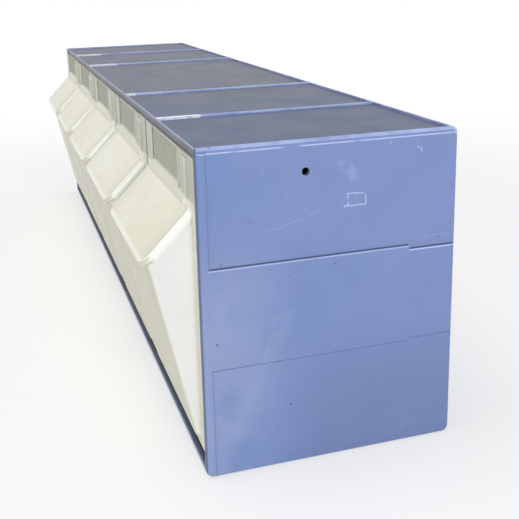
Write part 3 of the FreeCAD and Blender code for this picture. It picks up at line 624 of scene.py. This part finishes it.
SATIN, DULLEST = 0.36, 0.85
gloss = SATIN + cloud.rise(0.3, 0.75) * 0.1 + top * 0.16 + pale_wear_and_glints * 0.2 + grime_and_shade * 0.15
waves = noise(place, size=16, detail=1.0, seed=6.0)
relief = grain * 0.15 + waves * 0.6 - fine * 0.5 - long_scratch + gum * 0.8 + specks * 0.4
wire_up(shader, base, gloss.at_most(DULLEST), relief, step=0.12, strength=0.5)
shader.inputs["IOR"].default_value = 1.5
shader.inputs["Specular IOR Level"].default_value = 0.4
print("the housing's finish has", len(housing_finish.node_tree.nodes), "nodes")

# %% [markdown]
# ## The bins' milky plastic
# The bins are thin-walled and let some light through, so their finish scatters it a little under
# the skin. The plastic is creamy on the front, and on the sides it is greyer and cooler, partly
# its own tone and partly painted cool light from the right end, with a faint veil of stains. All
# five bins share the recipe, and the noise makes each a little different.

# %% Bin plastic: milk and age
MILK, OLD_MILK, SIDE_MILK_AND_COOL_LIGHT = colour(234, 233, 220), colour(229, 227, 206), colour(232, 231, 227)
VEIL = colour(222, 220, 202)
bin_finish, shader, place = new_finish("milky_plastic")
across, depth, height = place.axes()
to_front, upward, sideways = facings(place)
age = noise(place, size=45, detail=3.0, seed=1.0).rise(0.3, 0.7)
base = age.blend(MILK, OLD_MILK)
# the sides: their own greyer tone and painted cool light
base = layer(base, sideways, SIDE_MILK_AND_COOL_LIGHT)
veil = noise(place, size=10, detail=3.0, seed=3.0)
base = layer(base, veil.rise(0.45, 0.75), VEIL, strength=0.2)
print("milk takes", len(bin_finish.node_tree.nodes), "nodes")

# %% [markdown]
# Each bin's scoop slopes at 45 degrees, so on its face the height less the depth is one number,
# and that finds the scoop on every bin. Wrap folds the row of bins onto one bin, by its pitch;
# both numbers are the CAD model's. The rim round the scoop is painted white as a highlight, the
# scoop darkens with painted shade towards it, and the groove just inside it is painted in shade.

# %% Bin plastic: rim and scoop
PITCH = 119.16 * MM
SLOPE = 202.8 * MM
RIM_ASIDE, RIM_AHEAD = 49.8 * MM, FRONT - 23.8 * MM
RIM_HIGHLIGHT_WHITE, SCOOP_SHADE = colour(246, 246, 236), colour(206, 204, 186)
GROOVE_SHADE = colour(184, 182, 166)
aside = across.math("WRAP", across, PITCH / 2, -PITCH / 2)
aside = aside.math("ABSOLUTE", aside)
on_slope = (SLOPE - (height - depth)).rise(6.8 * MM, 6.4 * MM)
rim = aside.rise(RIM_ASIDE - 0.4 * MM, RIM_ASIDE + 0.4 * MM)
rim = rim.at_least(depth.rise(RIM_AHEAD + 0.4 * MM, RIM_AHEAD - 0.4 * MM))
rim = rim * on_slope * depth.rise(FRONT - 0.2 * MM, FRONT - 0.8 * MM)
# painted highlight on the rim
base = layer(base, rim * (0.6 + veil * 0.5), RIM_HIGHLIGHT_WHITE)
scoop = on_slope * upward.rise(0.3, 0.5) * depth.rise(FRONT - 0.5 * MM, FRONT - 1.5 * MM)
towards_rim = scoop * aside.rise(30 * MM, 49 * MM) * (1 - rim)
# painted shade on the scoop towards the rim
base = layer(base, towards_rim, SCOOP_SHADE, strength=0.35)
groove = aside.rise(48.4 * MM, 48.8 * MM) * aside.rise(49.7 * MM, 49.3 * MM)
# painted shade in the groove inside the rim
base = layer(base, scoop * groove, GROOVE_SHADE, strength=0.55)
print("the rim starts", round(RIM_ASIDE / MM, 1), "mm from a bin's middle")

# %% [markdown]
# Below the scoop, the belly of the bin slopes back to its foot. It is the part that faces
# downward, which finds it on every bin, and it is painted in shade, darker and yellower towards
# the right end.

# %% Bin plastic: belly
LIGHT_BELLY_SHADE, DEEP_BELLY_SHADE = colour(223, 220, 198), colour(206, 202, 177)
PALE_UP_TO, YELLOW_FROM = -0.25, 0.1
belly = upward.rise(-0.05, -0.3)
deeper_shade = across.rise(PALE_UP_TO, YELLOW_FROM)
# painted shade on the downward-facing belly
base = layer(base, belly, deeper_shade.blend(LIGHT_BELLY_SHADE, DEEP_BELLY_SHADE))
print("the bellies turn yellower from", PALE_UP_TO, "m across")

# %% [markdown]
# The label frame at the head of each bin is greyer than the rest, most of all on its flat back.
# The depth limits keep this off the side walls, which show when a bin is open. The sides of the
# plates, next to the gaps, are painted in shade.

# %% Bin plastic: label frame and gaps
FRAME_FOOT = 137.5 * MM
FRAME_GREY, FRAME_BACK = colour(200, 200, 184), colour(184, 184, 168)
GAP_SHADE = colour(104, 104, 96)
framed = height.rise(FRAME_FOOT, FRAME_FOOT + 1.5 * MM)
framed = framed * depth.rise(FRONT - 4.5 * MM, FRONT - 3.5 * MM)
framed = framed * depth.rise(FRONT + 1.0 * MM, FRONT + 0.6 * MM)
base = layer(base, framed, FRAME_GREY, strength=0.55)
flat_back = framed * to_front.rise(0.93, 0.99) * depth.rise(FRONT - 1.6 * MM, FRONT - 1.2 * MM)
base = layer(base, flat_back, FRAME_BACK, strength=0.75)
gap_side_shade = sideways * aside.rise(57.2 * MM, 57.6 * MM)
# painted shade on the plates' sides next to the gaps
base = layer(base, gap_side_shade, GAP_SHADE, strength=0.7)
print("the label frames start at", round(FRAME_FOOT / MM, 1), "mm")

# %% [markdown]
# Dirt gathers in the creases, most of all round the label frame, and everywhere else the edges are
# rubbed white, with painted highlight in the same white. Both masks are broken up by noise,
# because no real edge wears evenly.

# %% Bin plastic: dirt and rubbed edges
DIRT_BROWN, EDGE_WHITE_AND_HIGHLIGHT = colour(140, 138, 120), colour(252, 252, 246)
dirt = creases(place, reach=2.5).rise(0.25, 0.8)
dirt = dirt * noise(place, size=7, detail=3.0, seed=8.0).rise(0.05, 0.5)
base = layer(base, dirt * (0.3 + framed * 0.4), DIRT_BROWN)
rubbed_and_highlit = (edges(place, width=0.45) * 5).at_most(1)
rubbed_and_highlit = rubbed_and_highlit * noise(place, size=6, detail=3.0, seed=2.0).rise(0.15, 0.5)
# wear and painted highlight along the bins' edges
base = layer(base, rubbed_and_highlit * (1 - framed * 0.5), EDGE_WHITE_AND_HIGHLIGHT, strength=0.7)
print("wear brings it to", len(bin_finish.node_tree.nodes), "nodes")

# %% [markdown]
# Fine scratches run down the scoops, where small parts are slid out over them. The light that
# goes in under the skin comes out a little yellower, which the subsurface radius says: red
# light travels furthest, and blue least.

# %% Bin plastic: scratches, gloss and relief
SLIDE_WHITE, SPECK_BROWN = colour(246, 246, 238), colour(112, 104, 88)
SHINY, DULLEST = 0.3, 0.8
slides = hairlines(place, along=(0.0, 1.0, 1.0), spacing=6, thin=0.012, patch=26, seed=0.6)
crossing = hairlines(place, along=(0.25, 1.0, 0.9), spacing=8, thin=0.010, patch=32, seed=2.3)
slides = slides.at_least(crossing)
base = layer(base, slides, SLIDE_WHITE, strength=0.08)
specks = noise(place, size=2.6, detail=0.0, seed=4.0).rise(0.87, 0.9)
base = layer(base, specks, SPECK_BROWN, strength=0.6)
gloss = SHINY + veil.rise(0.3, 0.8) * 0.08 + slides * 0.15 + dirt * 0.2
grain = noise(place, size=1.4, detail=2.0, seed=1.0)
waves = noise(place, size=18, detail=1.0, seed=5.0)
relief = grain * 0.12 + waves * 0.8 - slides * 0.15 + specks * 0.4
wire_up(shader, base, gloss.at_most(DULLEST), relief, step=0.1, strength=0.5)
shader.inputs["IOR"].default_value = 1.49
shader.inputs["Subsurface Weight"].default_value = 0.15
shader.inputs["Subsurface Radius"].default_value = (1.0, 0.95, 0.8)
shader.inputs["Subsurface Scale"].default_value = 1.0 * MM
print("the bins' finish has", len(bin_finish.node_tree.nodes), "nodes")

# %% [markdown]
# ## The label cards
# Each frame holds a blank slip of grey card. Card is matt, slightly mottled and browned in
# patches. Its fibres are hairlines whose noise is drawn out straight through the card, so that
# on its face the level lines are short and lie every way.

# %% Label card
CARD_GREY, CARD_DARK = colour(193, 192, 180), colour(184, 183, 169)
FIBRE_PALE, STAIN_BROWN = colour(205, 204, 190), colour(160, 156, 136)
THROUGH = (0.0, 1.0, 0.0)
MATT = 0.78
card_finish, shader, place = new_finish("grey_card")
mottle = noise(place, size=5, detail=4.0, seed=1.0)
base = mottle.rise(0.3, 0.7).blend(CARD_GREY, CARD_DARK)
fibres = hairlines(place, along=THROUGH, spacing=0.8, thin=0.05, patch=3, seed=1.0)
more_fibres = hairlines(place, along=THROUGH, spacing=0.9, thin=0.05, patch=4, seed=2.0)
fibres = fibres.at_least(more_fibres)
base = layer(base, fibres, FIBRE_PALE, strength=0.4)
stain = noise(place, size=18, detail=3.0, seed=6.0).rise(0.55, 0.75)
base = layer(base, stain, STAIN_BROWN, strength=0.35)
wire_up(shader, base, MATT + mottle * 0.15, mottle * 0.5 + fibres, step=0.05, strength=0.6)
shader.inputs["Specular IOR Level"].default_value = 0.25
print("the card's finish has", len(card_finish.node_tree.nodes), "nodes")

# %% [markdown]
# ## Putting the finishes on
# Each node of the frame has a material slot. Only the material in the slot is exchanged: the node
# keeps its shape and its place.

# %% Put the finishes on
FINISHES = {"housing": housing_finish, "tilt": bin_finish, "label": card_finish}
for name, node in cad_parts.items():
    finish = FINISHES[name.split("_")[0]]
    for slot in node.material_slots:
        slot.material = finish
    print(name, "wears", finish.name)

# %% [markdown]
# ## Picture settings
# The Standard view shows a colour as it was mixed, with no film curve over it.

# %% Picture settings
bpy.context.scene.view_settings.view_transform = "Standard"
